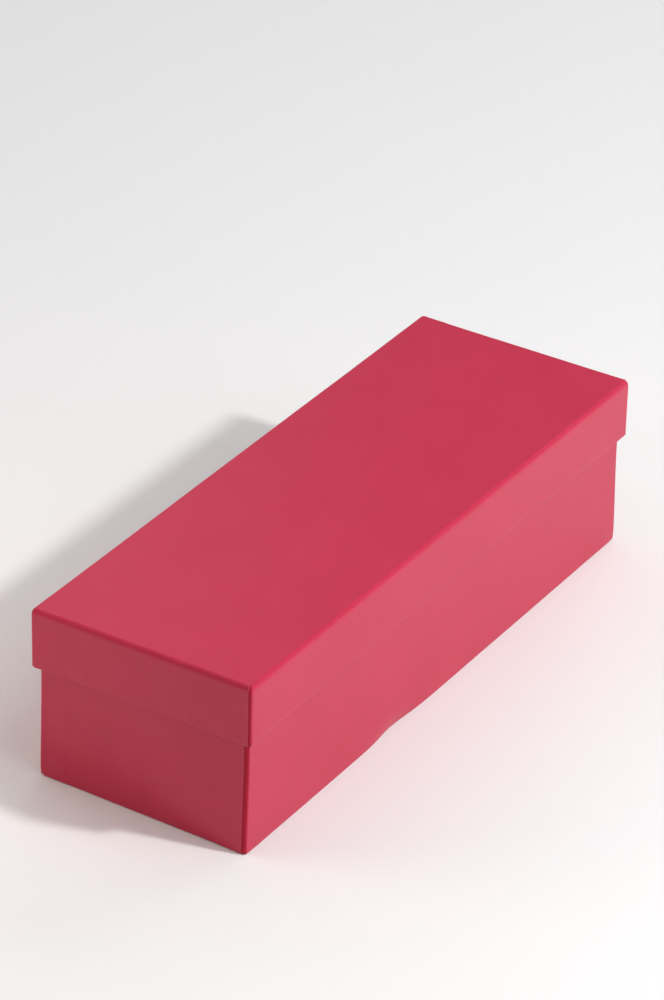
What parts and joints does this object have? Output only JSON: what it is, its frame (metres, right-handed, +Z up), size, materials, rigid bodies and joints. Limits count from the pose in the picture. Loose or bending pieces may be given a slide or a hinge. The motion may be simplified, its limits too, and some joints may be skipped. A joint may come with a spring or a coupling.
{
  "type": "gift box",
  "caption": "Long two-piece rigid gift box: a deep paper-wrapped tray closed by a shallow lift-off lid.",
  "frame": {"origin": "middle of the underside of the tray, on the surface the box stands on", "axes": "+Z up, +X along the length of the box, +Y across its width; -Y is the long side taken as the front"},
  "size_m": [0.2834, 0.0998, 0.076],
  "materials": {
    "cover_paper": "smooth dyed cover paper with a low satin sheen",
    "lining_paper": "plain off-white uncoated lining paper",
    "greyboard": "bare recycled greyboard",
    "stay_tape": "brown kraft paper tape"
  },
  "bodies": {
    "tray": {"tray_board": "greyboard", "tray_wrap": "cover_paper", "tray_lining": "lining_paper", "tray_stay_front_left": "stay_tape", "tray_stay_front_right": "stay_tape", "tray_stay_back_left": "stay_tape", "tray_stay_back_right": "stay_tape"},
    "lid": {"lid_board": "greyboard", "lid_wrap": "cover_paper", "lid_lining": "lining_paper", "lid_stay_front_left": "stay_tape", "lid_stay_front_right": "stay_tape", "lid_stay_back_left": "stay_tape", "lid_stay_back_right": "stay_tape"}
  },
  "joints": [
    {"name": "lid_lift", "type": "slide", "parent": "tray", "child": "lid", "axis": [0, 0, 1], "range_m": [0, 0.1]}
  ]
}
